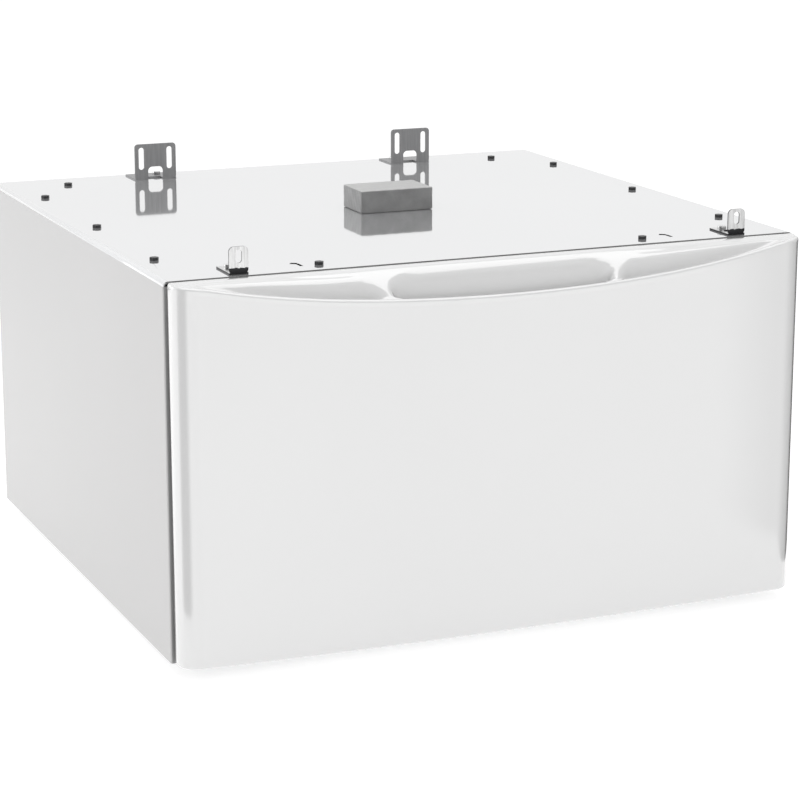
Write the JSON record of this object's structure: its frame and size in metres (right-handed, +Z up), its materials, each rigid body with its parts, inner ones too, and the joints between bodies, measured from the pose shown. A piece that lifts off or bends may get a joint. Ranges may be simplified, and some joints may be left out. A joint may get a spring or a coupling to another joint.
{
  "type": "laundry pedestal with drawer",
  "caption": "Steel laundry pedestal that raises a front load appliance: bowed full-width storage drawer with a scooped finger grip, L brackets on top, levelling feet.",
  "frame": {"origin": "centre of the footprint on the floor, at the bottom of the levelling feet", "axes": "+X to the right seen from the front, +Y to the rear, +Z up; the drawer front faces -Y"},
  "size_m": [0.686, 0.683, 0.436],
  "materials": {
    "cabinet_white": "gloss white enamel on sheet steel",
    "front_white": "satin-gloss white moulding",
    "drawer_box_white": "semi-gloss white powder coat",
    "galvanised_steel": "galvanised sheet steel",
    "plated_steel": "zinc plated",
    "zinc_grey": "dull zinc plated sheet",
    "zinc_bright": "bright zinc plated sheet",
    "bolt_black": "black oxide",
    "ball_steel": "polished bearing steel",
    "rubber_black": "matt rubber",
    "foam_grey": "soft grey foam"
  },
  "bodies": {
    "cabinet": {"top_panel": "cabinet_white", "side_panel_left": "cabinet_white", "side_panel_right": "cabinet_white", "rear_panel": "cabinet_white", "rear_panel_screws": "plated_steel", "front_bottom_rail": "galvanised_steel", "rear_bottom_rail": "galvanised_steel", "front_top_rail": "galvanised_steel", "rear_top_rail": "galvanised_steel", "top_reinforcement_left": "galvanised_steel", "top_reinforcement_right": "galvanised_steel", "top_bolts": "bolt_black", "clinch_nuts": "plated_steel", "rear_bracket_left": "zinc_grey", "rear_bracket_right": "zinc_grey", "front_bracket_left": "zinc_bright", "front_bracket_right": "zinc_bright", "bracket_screws": "zinc_bright", "foam_block": "foam_grey", "slide_mount_left": "galvanised_steel", "slide_mount_right": "galvanised_steel", "slide_outer_left": "plated_steel", "slide_outer_right": "plated_steel", "corner_gusset_front_left": "galvanised_steel", "corner_gusset_front_right": "galvanised_steel", "corner_gusset_rear_left": "galvanised_steel", "corner_gusset_rear_right": "galvanised_steel", "lock_nuts": "plated_steel"},
    "drawer": {"drawer_front": "front_white", "drawer_front_back_panel": "front_white", "drawer_front_screws": "plated_steel", "drawer_bumpers": "rubber_black", "drawer_box_front": "drawer_box_white", "drawer_back": "drawer_box_white", "drawer_side_left": "drawer_box_white", "drawer_side_right": "drawer_box_white", "drawer_bottom": "drawer_box_white", "drawer_slide_screws": "plated_steel", "slide_inner_left": "plated_steel", "slide_inner_right": "plated_steel"},
    "slide_middle_left": {"slide_middle_left": "plated_steel"},
    "ball_cage_outer_left": {"ball_cage_outer_left": "plated_steel", "balls_outer_left": "ball_steel"},
    "ball_cage_inner_left": {"ball_cage_inner_left": "plated_steel", "balls_inner_left": "ball_steel"},
    "slide_middle_right": {"slide_middle_right": "plated_steel"},
    "ball_cage_outer_right": {"ball_cage_outer_right": "plated_steel", "balls_outer_right": "ball_steel"},
    "ball_cage_inner_right": {"ball_cage_inner_right": "plated_steel", "balls_inner_right": "ball_steel"},
    "foot_pad_front_left": {"foot_pad_front_left": "rubber_black"},
    "foot_stud_front_left": {"foot_stud_front_left": "plated_steel"},
    "foot_pad_front_right": {"foot_pad_front_right": "rubber_black"},
    "foot_stud_front_right": {"foot_stud_front_right": "plated_steel"},
    "foot_pad_rear_left": {"foot_pad_rear_left": "rubber_black"},
    "foot_stud_rear_left": {"foot_stud_rear_left": "plated_steel"},
    "foot_pad_rear_right": {"foot_pad_rear_right": "rubber_black"},
    "foot_stud_rear_right": {"foot_stud_rear_right": "plated_steel"}
  },
  "joints": [
    {"name": "drawer_slide", "type": "slide", "parent": "cabinet", "child": "drawer", "axis": [0, -1, 0], "range_m": [0, 0.44]},
    {"name": "slide_middle_left_travel", "type": "slide", "parent": "cabinet", "child": "slide_middle_left", "axis": [0, -1, 0], "range_m": [0, 0.22]},
    {"name": "ball_cage_outer_left_travel", "type": "slide", "parent": "cabinet", "child": "ball_cage_outer_left", "axis": [0, -1, 0], "range_m": [0, 0.11]},
    {"name": "ball_cage_inner_left_travel", "type": "slide", "parent": "cabinet", "child": "ball_cage_inner_left", "axis": [0, -1, 0], "range_m": [0, 0.33]},
    {"name": "slide_middle_right_travel", "type": "slide", "parent": "cabinet", "child": "slide_middle_right", "axis": [0, -1, 0], "range_m": [0, 0.22]},
    {"name": "ball_cage_outer_right_travel", "type": "slide", "parent": "cabinet", "child": "ball_cage_outer_right", "axis": [0, -1, 0], "range_m": [0, 0.11]},
    {"name": "ball_cage_inner_right_travel", "type": "slide", "parent": "cabinet", "child": "ball_cage_inner_right", "axis": [0, -1, 0], "range_m": [0, 0.33]},
    {"name": "foot_front_left_height", "type": "slide", "parent": "cabinet", "child": "foot_pad_front_left", "axis": [0, 0, -1], "range_m": [0, 0.02]},
    {"name": "foot_front_left_turn", "type": "hinge", "parent": "foot_pad_front_left", "child": "foot_stud_front_left", "pos_m": [-0.283, -0.2385, 0.02], "axis": [0, 0, -1], "range_deg": [0, 4800.5]},
    {"name": "foot_front_right_height", "type": "slide", "parent": "cabinet", "child": "foot_pad_front_right", "axis": [0, 0, -1], "range_m": [0, 0.02]},
    {"name": "foot_front_right_turn", "type": "hinge", "parent": "foot_pad_front_right", "child": "foot_stud_front_right", "pos_m": [0.283, -0.2385, 0.02], "axis": [0, 0, -1], "range_deg": [0, 4800.5]},
    {"name": "foot_rear_left_height", "type": "slide", "parent": "cabinet", "child": "foot_pad_rear_left", "axis": [0, 0, -1], "range_m": [0, 0.02]},
    {"name": "foot_rear_left_turn", "type": "hinge", "parent": "foot_pad_rear_left", "child": "foot_stud_rear_left", "pos_m": [-0.283, 0.2765, 0.02], "axis": [0, 0, -1], "range_deg": [0, 4800.5]},
    {"name": "foot_rear_right_height", "type": "slide", "parent": "cabinet", "child": "foot_pad_rear_right", "axis": [0, 0, -1], "range_m": [0, 0.02]},
    {"name": "foot_rear_right_turn", "type": "hinge", "parent": "foot_pad_rear_right", "child": "foot_stud_rear_right", "pos_m": [0.283, 0.2765, 0.02], "axis": [0, 0, -1], "range_deg": [0, 4800.5]}
  ],
  "couplings": [
    {"joint": "slide_middle_left_travel", "follows": "drawer_slide", "ratio": 0.5},
    {"joint": "ball_cage_outer_left_travel", "follows": "drawer_slide", "ratio": 0.25},
    {"joint": "ball_cage_inner_left_travel", "follows": "drawer_slide", "ratio": 0.75},
    {"joint": "slide_middle_right_travel", "follows": "drawer_slide", "ratio": 0.5},
    {"joint": "ball_cage_outer_right_travel", "follows": "drawer_slide", "ratio": 0.25},
    {"joint": "ball_cage_inner_right_travel", "follows": "drawer_slide", "ratio": 0.75},
    {"joint": "foot_front_left_turn", "follows": "foot_front_left_height", "rad_per_m": 4188.8},
    {"joint": "foot_front_right_turn", "follows": "foot_front_right_height", "rad_per_m": 4188.8},
    {"joint": "foot_rear_left_turn", "follows": "foot_rear_left_height", "rad_per_m": 4188.8},
    {"joint": "foot_rear_right_turn", "follows": "foot_rear_right_height", "rad_per_m": 4188.8}
  ]
}
